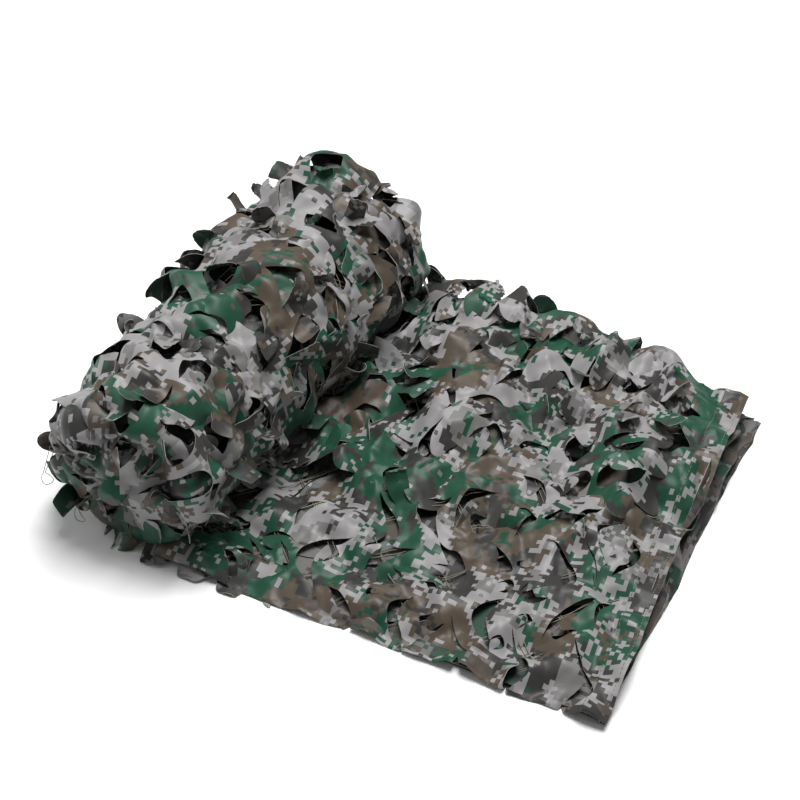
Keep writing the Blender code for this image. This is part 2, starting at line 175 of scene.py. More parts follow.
def linear(hex_colour):
    """An sRGB hex colour as the linear colour that shaders take."""
    parts = [int(hex_colour[i : i + 2], 16) / 255 for i in (1, 3, 5)]
    return [c / 12.92 if c <= 0.04045 else ((c + 0.055) / 1.055) ** 2.4 for c in parts] + [1.0]


def node(tree, kind, links=(), **settings):
    """Adds a node. Settings name its properties, or its inputs when they start with in_.

    Its links come from other nodes' first outputs, or from the outputs given.
    """
    made = tree.nodes.new(kind)
    for name, value in settings.items():
        if name.startswith("in_"):
            key = name[3:]
            made.inputs[int(key) if key.isdigit() else key.replace("_", " ")].default_value = value
        else:
            setattr(made, name, value)
    for source, target in links:
        tree.links.new(getattr(source, "outputs", [source])[0], made.inputs[target])
    return made


def new_material(name, **settings):
    """A material, its node tree and its shader, whose inputs the settings name."""
    material = bpy.data.materials.new(name)
    material.use_nodes = True
    shader = material.node_tree.nodes["Principled BSDF"]
    for key, value in settings.items():
        shader.inputs[key.replace("_", " ")].default_value = value
    return material, material.node_tree, shader


def drifting_colour(tree, shader, place, size, detail, first, second):
    """A base colour that drifts softly between two, in spots of one size (m)."""
    spots = node(tree, "ShaderNodeTexNoise", [(place, "Vector")], in_Scale=1 / size, in_Detail=detail)
    colour = node(
        tree, "ShaderNodeMix", [(spots, 0)],
        data_type="RGBA", in_6=linear(first), in_7=linear(second),
    )
    tree.links.new(colour.outputs[2], shader.inputs["Base Color"])


def print_blobs(tree, pixel, speck, place, size, share):
    """Where one print colour lies: ragged blobs that keep to the print's pixels."""
    shift = (place, place * 0.7, place)
    moved = node(tree, "ShaderNodeVectorMath", [(pixel, 0)], operation="ADD", in_1=shift)
    field = node(
        tree, "ShaderNodeTexNoise", [(moved, "Vector")],
        in_Scale=1 / size, in_Detail=2.0, in_Roughness=0.55, in_Distortion=0.3,
    )
    ragged = node(tree, "ShaderNodeMath", [(speck, 0)], operation="MULTIPLY_ADD", in_1=0.10, in_2=-0.05)
    summed = node(tree, "ShaderNodeMath", [(field, 0), (ragged, 1)], operation="ADD")
    return node(tree, "ShaderNodeMath", [(summed, 0)], operation="GREATER_THAN", in_1=1 - share)


def printed_colour(tree, coords, colours):
    """The digital camouflage print: colours laid over a light ground in pixels of one size."""
    pixel = node(tree, "ShaderNodeVectorMath", [(coords, 0)], operation="SNAP", in_1=(PRINT_PIXEL,) * 3)
    speck = node(tree, "ShaderNodeTexWhiteNoise", [(pixel, "Vector")], noise_dimensions="2D")
    ground_colour, blobs = colours
    ground = node(tree, "ShaderNodeRGB")
    ground.outputs[0].default_value = linear(ground_colour)
    colour = ground.outputs[0]
    for hex_colour, place, size, share in blobs:
        mask = print_blobs(tree, pixel, speck, place, size, share)
        mixed = node(
            tree, "ShaderNodeMix", [(mask, 0), (colour, 6)],
            data_type="RGBA", in_7=linear(hex_colour),
        )
        colour = mixed.outputs[2]
    return colour


# The ground's colour, then for each colour over it: the place of its blobs in the print (m), their
# size (m) and the share of the noise's range that they cover.
PRINT_COLOURS = (
    "#8b898a",
    (
        ("#6e6d6c", 3.1, 0.045, 0.455),
        ("#4e4439", 1.3, 0.080, 0.465),
        ("#1a4735", 2.2, 0.085, 0.455),
        ("#323130", 5.7, 0.050, 0.435),
    ),
)
# The back's print: duller and darker than the face, as the cloth's back is, and darkened further as painted
# shade for the lower layers, which lie in shade under the top layer.
REVERSE_AND_SHADE_COLOURS = (
    "#636160",
    (
        ("#473f39", 1.3, 0.080, 0.485),
        ("#1f3f31", 2.2, 0.085, 0.465),
        ("#2d2b2b", 5.7, 0.050, 0.425),
    ),
)


def oxford_cloth(name, colours, roughness, relief):
    """Polyester Oxford cloth, woven and coated, with a dye print.

    To the eye: matt colours with a soft satin light along the bends, and small packing creases.
    The threads are 0.5 mm apart and are drawn at 0.9 mm, so that they show.
    """
    material, tree, shader = new_material(name, Specular_IOR_Level=0.30, Sheen_Weight=0.05)
    coords = node(tree, "ShaderNodeUVMap", uv_map="cloth").outputs[0]
    colour = printed_colour(tree, coords, colours)
    worn = node(tree, "ShaderNodeTexNoise", [(coords, "Vector")], in_Scale=1 / (30 * MM), in_Detail=4.0)
    shade, gloss = (
        node(tree, "ShaderNodeMapRange", [(worn, 0)], in_1=0.3, in_2=0.7, in_3=low, in_4=high)
        for low, high in ((0.88, 1.10), (roughness - 0.06, roughness + 0.08))
    )
    faded = node(tree, "ShaderNodeHueSaturation", [(colour, "Color"), (shade, "Value")])
    tree.links.new(faded.outputs[0], shader.inputs["Base Color"])
    tree.links.new(gloss.outputs[0], shader.inputs["Roughness"])
    warp, weft = (
        node(
            tree, "ShaderNodeTexWave", [(coords, "Vector")],
            bands_direction=way, in_Scale=WAVE_PITCH / THREAD_DRAWN,
        ).outputs["Fac"]
        for way in ("X", "Y")
    )
    weave = node(tree, "ShaderNodeMath", [(warp, 0), (weft, 1)], operation="MULTIPLY")
    threads = node(tree, "ShaderNodeBump", [(weave, "Height")], in_Strength=0.25, in_Distance=0.05 * MM)
    creases = node(
        tree, "ShaderNodeTexNoise", [(coords, "Vector")],
        noise_type="RIDGED_MULTIFRACTAL", in_Scale=1 / (21 * MM), in_Detail=3.0,
    )
    packed = node(
        tree, "ShaderNodeBump", [(creases, "Height"), (threads, "Normal")],
        in_Strength=relief, in_Distance=2.0 * MM,
    )
    tree.links.new(packed.outputs[0], shader.inputs["Normal"])
    return material


def cut_edge_cloth():
    """The same cloth where the knife went through: pale raw thread ends, matt."""
    material, tree, shader = new_material("oxford_cloth_cut_edge", Roughness=0.85)
    coords = node(tree, "ShaderNodeUVMap", uv_map="cloth").outputs[0]
    drifting_colour(tree, shader, coords, 4 * MM, 2.0, "#7d7a74", "#b8b6ae")
    return material


def polyester_string():
    """Twisted polyester string, dull olive grey, with a fine twist that catches a little light."""
    material, tree, shader = new_material("twisted_polyester_string", Roughness=0.7)
    coords = node(tree, "ShaderNodeTexCoord").outputs["Object"]
    drifting_colour(tree, shader, coords, 20 * MM, 2.0, "#3c3a30", "#98947f")
    twist = node(tree, "ShaderNodeTexNoise", [(coords, "Vector")], in_Scale=1 / (0.8 * MM), in_Detail=1.0)
    bump = node(tree, "ShaderNodeBump", [(twist, "Height")], in_Strength=0.4, in_Distance=0.1 * MM)
    tree.links.new(bump.outputs[0], shader.inputs["Normal"])
    return material


def studio_floor():
    """Matt white paper sweep, all but even, so that only the net's shadow marks it."""
    material, tree, shader = new_material("white_paper_floor", Roughness=0.9, Specular_IOR_Level=0.1)
    coords = node(tree, "ShaderNodeTexCoord").outputs["Object"]
    drifting_colour(tree, shader, coords, 1 / 6, 3.0, "#fafafa", "#ffffff")
    return material


# ---- the cuts

KINDS = ("round", "square", "square", "round", "square", "pointed")


def half_width(kind, share, neck):
    """Half width of a leaf, as a share of its full half width, at a share of its length."""
    root = neck + (1 - neck) * smooth(share / 0.45)
    if kind == "pointed":
        return root * (1 - np.clip((share - 0.25) / 0.75, 0, 1) ** 1.7)
    if kind == "square":
        return root * (1 - np.clip((share - 0.86) / 0.14, 0, 1) ** 4) ** 0.25 * (0.9 + 0.1 * share)
    return root * np.sqrt(1 - np.clip((share - 0.6) / 0.4, 0, 1) ** 2)


def leaf_line(kind, middle, heading, length, width, neck, lean, back_to):
    """The cut of one leaf in the flat cloth: up one side from the hinge, round the tip and back."""
    heading = math.radians(heading)
    along = np.array((math.cos(heading), math.sin(heading)))
    across = np.array((-math.sin(heading), math.cos(heading)))
    out = np.linspace(0, 1, 40)
    back = np.linspace(1, back_to, 40)[1:]
    halves = np.array([-1] * len(out) + [1] * len(back))
    shares = np.concatenate((out, back))
    sideways = half_width(kind, shares, neck) * width / 2 * halves
    bow = lean * length * (shares**2 - 0.25)
    origin = np.array(middle) - along * length / 2
    return origin + np.outer(shares * length, along) + np.outer(sideways + bow, across)


def opened(hole, gape):
    """A cut as a hole and the narrower leaf inside it, with a gap between the two."""
    middle = (hole[0] + hole[-1]) / 2
    reach = np.linalg.norm(hole - middle, axis=1).max()
    inward = np.sin(np.linspace(0, math.pi, len(hole)))[:, None] ** 0.6
    return {"hole": hole, "line": hole + (middle - hole) * inward * gape / reach}


def bulged(line, more):
    """A cut whose middle stands further out from its hinge."""
    out = line.mean(axis=0) - (line[0] + line[-1]) / 2
    return line + unit(out) * np.sin(np.linspace(0, math.pi, len(line)))[:, None] * more


def rounded_line(points):
    """A smooth cut through a few points of the flat cloth, given in millimetres."""
    points = np.array(points, float) * MM
    padded = np.vstack((2 * points[0] - points[1], points, 2 * points[-1] - points[-2]))
    pieces = []
    for a, b, c, d in zip(padded, padded[1:], padded[2:], padded[3:]):
        t = np.linspace(0, 1, 14, endpoint=False)[:, None]
        pieces.append(
            0.5 * (2 * b + (c - a) * t + (2 * a - 5 * b + 4 * c - d) * t**2 + (3 * b - a - 3 * c + d) * t**3)
        )
    return np.vstack(pieces + [points[-1:]])


def even_steps(line, step):
    """The same line with points one step apart."""
    lengths = np.concatenate(([0], np.cumsum(np.linalg.norm(np.diff(line, axis=0), axis=1))))
    count = max(4, int(round(lengths[-1] / step)))
    places = np.linspace(0, lengths[-1], count + 1)
    return np.column_stack([np.interp(places, lengths, line[:, axis]) for axis in (0, 1)])


def clear_of(line, points, margin, corners):
    """Whether a cut stays its margin away from the cuts made so far and from the cloth's rim."""
    (u0, v0), (u1, v1) = corners
    low, high = line.min(axis=0), line.max(axis=0)
    if low[0] < u0 + margin or high[0] > u1 - margin or low[1] < v0 + margin or high[1] > v1 - margin:
        return False
    close = points[np.all((points > low - margin) & (points < high + margin), axis=1)]
    return not len(close) or np.min(np.linalg.norm(close[None] - line[:, None], axis=2)) >= margin


def fit_cuts(made, wanted, margin, corners):
    """Adds each wanted cut at the largest size that stays clear of the others, or leaves it out."""
    kept = list(made)
    points = np.vstack([np.empty((0, 2))] + [cut["hole"][::2] for cut in kept])
    for cut in wanted:
        middle = cut["hole"].mean(axis=0)
        for size in (1.0, 0.9, 0.8, 0.7, 0.6):
            hole, line = (middle + (cut[key] - middle) * size for key in ("hole", "line"))
            if clear_of(hole, points, margin, corners):
                kept.append({**cut, "hole": hole, "line": line})
                points = np.vstack((points, hole[::2]))
                break
    return kept


# ---- cloth

EVERY_SIDE = (0, 1, 2, 3)


def cloth_rim(corners, step, ragged=(), depth=0.0, pitch=0.0, seed=0):
    """A cloth's outline, in points a step apart.

    Its ragged sides are rows of leaf tips: 0 is the near side, 1 the right, 2 the far and 3 the left.
    """
    (u0, v0), (u1, v1) = corners
    turns = np.array([(u0, v0), (u1, v0), (u1, v1), (u0, v1), (u0, v0)])
    rng = np.random.default_rng(seed)
    rim = []
    for side in range(4):
        line = even_steps(turns[side : side + 2], step)[:-1]
        if side in ragged:
            run = np.linalg.norm(line - line[0], axis=1)
            inward = np.round(unit((turns[0] + turns[2]) / 2 - (turns[side] + turns[side + 1]) / 2))
            cells = rng.uniform(0.7, 1.3, int(run[-1] / pitch) + 2)
            cells = np.concatenate(([0], np.cumsum(cells * run[-1] / cells.sum())))
            which = np.clip(np.searchsorted(cells, run, side="right") - 1, 0, len(cells) - 2)
            share = (run - cells[which]) / (cells[which + 1] - cells[which])
            lean = rng.uniform(0.3, 0.7, len(cells))[which]
            tip = np.clip(np.where(share < lean, share / lean, (1 - share) / (1 - lean)), 0, 1)
            full = rng.uniform(0.35, 1.0, len(cells))[which]
            line = line + np.outer(depth * (1 - full * np.sin(tip * math.pi / 2) ** 0.5), inward)
        rim.append(line)
    return np.vstack(rim)


def flat_cloth(corners, cuts, step, seed, rim):
    """A flat piece of cloth as triangles that follow its cuts, and which edges are cut."""
    (u0, v0), (u1, v1) = corners
    rng = np.random.default_rng(seed)
    rows = int(round((v1 - v0) / (step * ROW_SPACING)))
    columns = int(round((u1 - u0) / step))
    grid = []
    for row in range(1, rows):
        shift = 0.25 if row % 2 else -0.25
        u = u0 + (np.arange(1, columns) + shift) * (u1 - u0) / columns
        v = np.full(len(u), v0 + row * (v1 - v0) / rows)
        grid.append(np.column_stack((u, v)))
    inner = np.vstack(grid)
    inner += rng.uniform(-0.12, 0.12, inner.shape) * step
    tree = kdtree.KDTree(len(inner))
    for i, (u, v) in enumerate(inner):
        tree.insert((u, v, 0), i)
    tree.balance()
    lines = [even_steps(cut[key], step) for cut in cuts for key in ("line", "hole")]
    on_lines = np.vstack(lines + [rim])
    too_close = {found[1] for u, v in on_lines for found in tree.find_range((u, v, 0), step * 0.55)}
    inner = np.delete(inner, sorted(too_close), axis=0)
    inner = inner[inside(inner, rim)]
    points = [Vector(p) for p in rim]
    edges = [(i, (i + 1) % len(rim)) for i in range(len(rim))]
    cut_from = len(edges)
    for line in lines:
        first = len(points)
        points += [Vector(p) for p in line]
        edges += [(first + i, first + i + 1) for i in range(len(line) - 1)]
    points += [Vector(p) for p in inner]
    verts, made_edges, faces, _, from_edges, _ = geometry.delaunay_2d_cdt(points, edges, [], 0, 1e-6, True)
    cut_edges = [e for e, came in zip(made_edges, from_edges) if any(k >= cut_from for k in came)]
    verts = np.array([tuple(v) for v in verts])
    centres = verts[np.array(faces)].mean(axis=1)
    within = inside(centres, rim)
    for cut in cuts:
        within &= ~inside(centres, np.vstack((cut["hole"], cut["line"][::-1])))
    return verts, [face for face, keep in zip(faces, within) if keep], cut_edges


def inside(points, polygon):
    """Which points lie inside a polygon."""
    hit = np.zeros(len(points), bool)
    close = np.where(np.all((points >= polygon.min(axis=0)) & (points <= polygon.max(axis=0)), axis=1))[0]
    x, y = points[close].T
    for (x0, y0), (x1, y1) in zip(polygon, np.roll(polygon, -1, axis=0)):
        if y0 != y1:
            hit[close] ^= ((y0 > y) != (y1 > y)) & (x < (x1 - x0) * (y - y0) / (y1 - y0) + x0)
    return hit


def bend_leaf(flat, cut, surface, place_seed):
    """Where the points of one leaf go when it bends out of the cloth about its hinge.

    a and b are how far a point lies from the hinge and along it. The bend is followed out in steps.
    """
    start, end = cut["line"][0], cut["line"][-1]
    across = unit(end - start)
    along = np.array((-across[1], across[0]))
    if np.dot(cut["line"].mean(axis=0) - start, along) < 0:
        along = -along
    a = np.maximum(0.0, (flat - start) @ along)
    b = (flat - start) @ across
    reach = max(1e-6, ((cut["line"] - start) @ along).max())
    width = max(1e-6, np.ptp((cut["line"] - start) @ across))
    middle = (start + end) / 2
    side = (b - np.dot(middle - start, across)) / width
    roots = start + np.outer(b, across)
    base = surface(roots[:, 0], roots[:, 1])
    spots = np.array([middle, middle + along * 5 * MM, middle - across * 9 * MM, middle + across * 9 * MM])
    centre, ahead, left, right = surface(spots[:, 0], spots[:, 1])
    t_along, t_across = unit(ahead - centre), unit(right - left)
    out = np.cross(t_along, t_across)
    if np.dot(out, cut["out"](*middle)) < 0:
        out = -out
    out = unit(out)
    rise = cut["rise"] * (1 + cut["skew"] * side)
    steps = 14
    x, z = np.zeros(len(a)), np.zeros(len(a))
    for k in range(steps):
        share = (k + 0.5) / steps * a / reach
        theta = rise * smooth(share / 0.16) + cut["curl"] * share**1.5
        theta = theta + cut["tip"] * ramp(share, 0.45, 0.55)
        x += np.cos(theta) * a / steps
        z += np.sin(theta) * a / steps
    share = a / reach
    turn = cut["twist"] * share
    outward = np.outer(np.cos(theta), out) - np.outer(np.sin(theta), t_along)
    wide = side * width
    straight = centre + np.outer(wide, t_across)
    keep = smooth(1 - share / 0.5)[:, None]
    place = base * keep + straight * (1 - keep) + np.outer(x * (1 - cut["gap"]), t_along) + np.outer(z, out)
    place += np.outer(wide * (np.cos(turn) - 1), t_across) + outward * (wide * np.sin(turn))[:, None]
    fold = crumple(flat[:, 0], flat[:, 1], place_seed) - crumple(roots[:, 0], roots[:, 1], place_seed)
    cup = cut["cup"] * ((side * 2) ** 2 - 0.3) * smooth(share / 0.5)
    place += outward * (LEAF_CRUMPLE * fold + cup)[:, None]
    return place


def settle(place, rest_place, pairs, bends, hold, keep_out, rounds):
    """Lets a cloth find its own folds: edges keep their cut length, bends resist, and nothing sinks in."""
    pairs, bends = np.array(pairs), np.array(bends)
    both = np.vstack((pairs, bends))
    rest = np.linalg.norm(rest_place[both[:, 0]] - rest_place[both[:, 1]], axis=1) * SLACK
    stiff = np.concatenate((np.full(len(pairs), 1.0), np.full(len(bends), BEND_HOLD)))
    count = np.bincount(both.ravel(), minlength=len(place)).astype(float)
    target = place.copy()
    hold = hold[:, None]
    for _ in range(rounds):
        place = place + hold * (target - place)
        reach = place[both[:, 1]] - place[both[:, 0]]
        length = np.maximum(np.linalg.norm(reach, axis=1), 1e-9)
        wrong = length - rest
        wrong[len(pairs) :] = np.minimum(wrong[len(pairs) :], 0.0)
        push = reach * (0.5 * stiff * wrong / length)[:, None]
        for axis in range(3):
            pulled, pulling = (np.bincount(both[:, end], push[:, axis], len(place)) for end in (0, 1))
            place[:, axis] += OVERSHOOT * (pulled - pulling) / count
        place = keep_out(place)
    return place


def whole_cloth(mesh):
    """Drops the scraps that the cuts leave loose, or hanging by a single point."""
    for vert in [v for v in mesh.verts if v.link_faces and not v.is_manifold]:
        bmesh.utils.vert_separate(vert, [edge for edge in vert.link_edges if edge.is_boundary])
    mesh.verts.index_update()
    largest, seen = set(), set()
    for start in mesh.verts:
        if start.index in seen:
            continue
        part, front = {start.index}, [start]
        while front:
            vert = front.pop()
            for edge in vert.link_edges:
                other = edge.other_vert(vert)
                if other.index not in part:
                    part.add(other.index)
                    front.append(other)
        seen |= part
        largest = max(largest, part, key=len)
    scraps = [vert for vert in mesh.verts if vert.index not in largest]
    bmesh.ops.delete(mesh, geom=scraps, context="VERTS")
    mesh.verts.index_update()


def make_cloth(
    name, surface, corners, cuts, step, seed, materials, keep_out,
    uv_place=(0, 0), rounds=45, print_up=True, rim=None,
):
    """A piece of garnish: cut flat, laid on its surface, its leaves bent out, settled, given thickness.

    uv_place is its place in the print, rounds how long it settles, and print_up whether the print
    faces the way that its surface does.
    """
    rim = cloth_rim(corners, step) if rim is None else rim
    flat, faces, cut_edges = flat_cloth(corners, cuts, step, seed, rim)
    mesh = bmesh.new()
    verts = [mesh.verts.new((u, v, 0)) for u, v in flat]
    for corner in faces:
        mesh.faces.new([verts[i] for i in corner])
    cut_here = [mesh.edges.get((verts[a], verts[b])) for a, b in cut_edges]
    bmesh.ops.split_edges(mesh, edges=[edge for edge in cut_here if edge is not None])
    whole_cloth(mesh)
    mesh.faces.ensure_lookup_table()
    if (mesh.faces[0].normal.z > 0) != print_up:
        bmesh.ops.reverse_faces(mesh, faces=mesh.faces)
    flat = np.array([(v.co.x, v.co.y) for v in mesh.verts])
    corner_ids = np.array([[v.index for v in face.verts] for face in mesh.faces])
    centres = flat[corner_ids].mean(axis=1)
    owner = np.full(len(flat), -1)
    for number, cut in enumerate(cuts):
        owner[corner_ids[inside(centres, cut["line"])].ravel()] = number
    place = surface(flat[:, 0], flat[:, 1])
    for number, cut in enumerate(cuts):
        mine = np.where(owner == number)[0]
        if len(mine):
            place[mine] = bend_leaf(flat[mine], cut, surface, seed)
    if rounds:
        pairs = [(e.verts[0].index, e.verts[1].index) for e in mesh.edges]
        bends = [
            [v.index for f in e.link_faces for v in f.verts if v not in e.verts]
            for e in mesh.edges
            if len(e.link_faces) == 2
        ]
        bends = [ends for ends in bends if ends[0] != ends[1]]
        hold = np.where(owner < 0, CLOTH_HOLD, LEAF_HOLD)
        place = settle(place, surface(flat[:, 0], flat[:, 1], 0.0), pairs, bends, hold, keep_out, rounds)
    place = keep_out(place)
    layer = mesh.loops.layers.uv.new("cloth")
    for face in mesh.faces:
        face.smooth = True
        for loop in face.loops:
            u, v = flat[loop.vert.index]
            loop[layer].uv = (u + uv_place[0], v + uv_place[1])
    for vert, where in zip(mesh.verts, place):
        vert.co = where
    data = bpy.data.meshes.new(name)
    mesh.to_mesh(data)
    mesh.free()
    return finish_cloth(name, data, materials)


def finish_cloth(name, data, materials):
    """Gives a cloth its thickness: print outside, the duller back print (darkened further as painted shade)
    inside, and pale cut edges.
    """
    for material in materials:
        data.materials.append(material)
    piece = placed(name, data)
    bpy.ops.object.select_all(action="DESELECT")
    piece.select_set(True)
    bpy.context.view_layer.objects.active = piece
    solid = piece.modifiers.new("thickness", "SOLIDIFY")
    solid.thickness = CLOTH_THICK
    solid.offset = 0.0
    solid.material_offset = 1
    solid.material_offset_rim = 2
    bpy.ops.object.modifier_apply(modifier=solid.name)
    bpy.ops.object.shade_smooth_by_angle(angle=SMOOTH_UNDER)
    return piece


# ---- the loose end


def across_strip(y):
    """0 at the strip's near fold to 1 at its far one."""
    return (y + STRIP_WIDTH / 2) / STRIP_WIDTH


def pile_height(x, y):
    """Height of the top layer above the bottom one, before its ruffles.

    It sinks towards the strip's far corner and at the near fold, and its dip runs slantwise to the hem.
    """
    across = across_strip(y)
    out = ramp(x, LOOSE_START, 0.12)
    height = START_HEIGHT + (NEAR_HEIGHT - START_HEIGHT) * out + FAR_RISE * smooth(1.08 * across) * out
    height = height * (1 - 0.76 * ramp(x, 0.41, 0.10) * ramp(y, 0.09, 0.13))
    height = height - NEAR_DROP * ramp(y, -0.212, -0.034) * out
    trough_line = 0.075 - 0.25 * (x - 0.34)
    trough = TROUGH_DEPTH * np.exp(-(((y - trough_line) / 0.035) ** 2)) * ramp(x, 0.24, 0.12)
    lump = 6 * MM * ripple(x, y, 80 * MM, 5)
    open_part = smooth(1.6 * across) * ramp(x - LOOSE_START, 0.01, 0.10)
    return height + open_part * (lump - trough)


def looseness(x, y):
    """0 where the strip lies pressed flat, at its near side, to 1 in its ruffled far side."""
    across = across_strip(y)
    by_roll = 1 - ramp(x, 0.16, 0.16)
    return np.clip(ramp(across, 0.22, 0.40) + 0.85 * by_roll * ramp(across, 0.02, 0.3), 0, 1)


def top_layer(u, v, loose=1.0):
    """The strip's top layer, u along X and v across, turning under at its near fold.

    Every surface gives the place of its cloth's points, with its folds at 1 loose and plain at 0.
    """
    past = np.maximum(0.0, TOP_NEAR_FOLD - v)
    y = np.maximum(v, TOP_NEAR_FOLD)
    across = across_strip(y)
    skew = 13 * MM * smooth(2 * across) + 10 * MM * ramp(across, 0.65, 0.3)
    x = u - skew * ramp(u, 0.30, 0.22)
    soft = looseness(x, y)
    ruffle = waves(u, v, (18, 62, 11), (7, 30, 12)) * soft * loose
    packing = (TOP_PACKING + 1 * MM * soft) * crumple(u, v, 13) * loose
    billow = waves(u, v, (13, 40, 16)) * (1 - soft) * loose
    hem = 1.0 * MM * ramp(u, LOOSE_END - HEM_WIDTH, 2 * MM)
    z = np.maximum(pile_height(x, y) + ruffle + packing + billow + hem + 0.8 * MM, 1.6 * MM)
    angle = np.clip(past / FOLD_BEND, 0, math.pi)
    under = np.maximum(0.0, past - math.pi * FOLD_BEND)
    y = y - np.sin(angle) * FOLD_BEND + under
    z = z - (1 - np.cos(angle)) * FOLD_BEND
    kinks = (4 * MM * facets(u, 0 * v, 46 * MM, 14) + 1.5 * MM * ripple(u, v, 26 * MM, 15)) * loose
    return np.column_stack((x, y + kinks * ramp(v, TOP_NEAR_FOLD + TUCK, -TUCK), z))


def up(u, v):
    """Which way is out of the strip."""
    return np.array((0.0, 0.0, 1.0))


def above_floor(place):
    place[:, 2] = np.maximum(place[:, 2], FLOOR_GAP)
    return place


def low_pile(place):
    """Keeps the strip's loose garnish off the floor, and its tips from standing up on end."""
    ceiling = START_HEIGHT + FAR_RISE * smooth(1.08 * across_strip(place[:, 1])) + TIP_REACH
    place[:, 2] = np.minimum(place[:, 2], ceiling + 0.3 * np.maximum(0.0, place[:, 2] - ceiling))
    return above_floor(place)


# Cuts in the flat near part of the top layer: the points in millimetres on the strip that the cut
# runs through, how steeply its leaf stands, in degrees, and what sets how wide it gapes.
NEAR_CUTS = (
    (((406, -126), (384, -154), (370, -183), (380, -202), (398, -218)), 7, 11),
    (((408, -184), (423, -206), (440, -228), (431, -246), (428, -262)), -8, 11),
    (((347, -196), (364, -218), (380, -232), (379, -247), (374, -263)), -8, 11),
    (((439, -186), (446, -158), (458, -138), (476, -120)), -24, 12),
    (((470, -174), (486, -198), (503, -220), (499, -236), (488, -250), (480, -264)), -10, 11),
    (((484, -154), (480, -128), (498, -104)), -20, 5),
    (((364, -78), (366, -50), (384, -30), (408, -20)), -26, 15),
    (((405, -70), (428, -84), (444, -104), (438, -122)), 12, 9),
    (((440, -58), (458, -80), (470, -108)), -14, 5),
    (((336, 4), (358, 0), (372, -22), (366, -54)), 24, 9),
    (((352, -100), (366, -108), (374, -118), (366, -128)), 16, 15),
    (((216, -150), (190, -160), (175, -182), (178, -200), (190, -213), (208, -224)), 9, 12),
    (((211, -86), (236, -104), (248, -130), (230, -158)), 14, 11),
    (((241, -192), (244, -164), (258, -144), (278, -134)), -24, 15),
    (((162, -60), (138, -72), (123, -94), (122, -118)), 18, 11),
    (((101, -220), (118, -230), (126, -246), (130, -263)), 12, 12),
    (((112, -188), (132, -202), (142, -218), (136, -232)), 10, 9),
    (((142, -176), (160, -194), (166, -210), (160, -226)), -12, 8),
    (((218, -214), (238, -226), (256, -244), (262, -262)), -18, 15),
    (((304, -190), (292, -212), (302, -232), (318, -248), (326, -263)), 7, 14),
    (((294, -114), (320, -126), (334, -150), (326, -178)), -14, 15),
    (((280, -54), (260, -72), (266, -96), (292, -112)), 12, 15),
    (((176, -110), (154, -116), (143, -134), (148, -158)), 16, 11),
    (((326, -28), (304, -38), (293, -62), (300, -94)), 18, 11),
    (((440, -10), (424, -26), (422, -46), (436, -56)), 12, 8),
    (((478, -84), (492, -70), (496, -46), (484, -30)), -16, 7),
    (((60, -196), (78, -206), (88, -224), (80, -240)), 12, 8),
    (((262, -30), (246, -14), (248, 10), (262, 22)), 16, 8),
    (((356, 20), (362, 44), (380, 66), (410, 72)), -24, 15),
    (((430, 50), (434, 74), (456, 84), (476, 64)), -20, 15),
)

# Outline of the garnish that hangs beside the roll, in millimetres along the fold and down.
NEAR_FLAP_OUTLINE = (
    (-30, 0), (60, 0), (165, 0), (166, 20), (171, 38), (177, 55), (160, 47), (146, 43), (138, 62), (131, 79),
    (117, 60), (108, 44), (99, 54), (88, 78), (72, 69), (67, 46), (57, 40), (48, 58), (30, 71), (22, 52),
    (19, 38), (8, 52), (-8, 68), (-14, 44), (-20, 34), (-28, 42), (-30, 0),
)


def near_cut(row, number):
    """One listed cut. It bulges by 0.4 of its row's gape, in mm, and opens by 1.5 of it."""
    points, lift, gape = row
    spread = (number * 0.618) % 1.0
    return {
        **opened(bulged(rounded_line(points), 0.4 * gape * MM), 1.5 * gape * MM),
        "out": up,
        "rise": math.radians(lift),
        "curl": math.radians(-8 + 12 * spread),
        "tip": 0.0,
        "twist": math.radians(10 * (spread - 0.5)),
        "skew": 0.8 * (spread - 0.5),
        "cup": 0.0,
        "gap": 0.0,
    }


def ruffled_cut(rng, middle, heading, size, out, steep, flop, gape):
    """One leaf of ruffled garnish. steep 0 to 1 is how far it stands out, flop how it falls over.

    Its rise is at the hinge, its curl grows towards the tip, and some tips are rolled over.
    """
    line = leaf_line(
        KINDS[rng.integers(len(KINDS))],
        middle,
        heading,
        length=size * rng.uniform(0.84, 1.08),
        width=size * rng.uniform(0.56, 0.72),
        neck=rng.uniform(0.66, 0.98),
        lean=rng.uniform(-0.30, 0.30),
        back_to=0.0 if rng.random() < 0.6 else rng.uniform(0.12, 0.35),
    )
    rolled = rng.random() < 0.22
    return {
        **opened(line, rng.uniform(*gape) * MM),
        "out": out,
        "rise": math.radians(rng.uniform(8, 55)) * steep + flop,
        "curl": math.radians(rng.uniform(-70, 30) * (0.3 + 0.7 * steep)),
        "tip": math.radians(rng.uniform(80, 190) * rng.choice((-1, 1))) * steep if rolled else 0.0,
        "twist": math.radians(rng.uniform(-40, 40)) * steep,
        "skew": rng.uniform(-0.5, 0.5) * steep,
        "cup": rng.uniform(-3, 3) * MM * steep,
        "gap": 0.04,
    }


def leaf_rows(corners, tilt, size, rng):
    """Middles and headings of leaves in staggered rows over a piece of cloth, a little uneven."""
    (u0, v0), (u1, v1) = corners
    centre = np.array(((u0 + u1) / 2, (v0 + v1) / 2))
    reach = math.hypot(u1 - u0, v1 - v0) / 2
    turn = math.radians(tilt)
    along = np.array((math.cos(turn), math.sin(turn))) * LEAF_ALONG * size / LEAF_LONG
    across = np.array((-math.sin(turn), math.cos(turn))) * LEAF_ACROSS * size / LEAF_LONG
    columns, rows = (int(reach / np.linalg.norm(step)) + 1 for step in (across, along))
    for column in range(-columns, columns + 1):
        for row in range(-rows, rows + 1):
            place = centre + along * (row + 0.5 * (column % 2)) + across * column
            sway = 10 * MM * float(ripple(place[0], place[1], 150 * MM, 91))
            place = place + sway + rng.uniform(-4, 4, 2) * MM
            yield place, tilt + 180 * rng.integers(2) + rng.uniform(-15, 15)


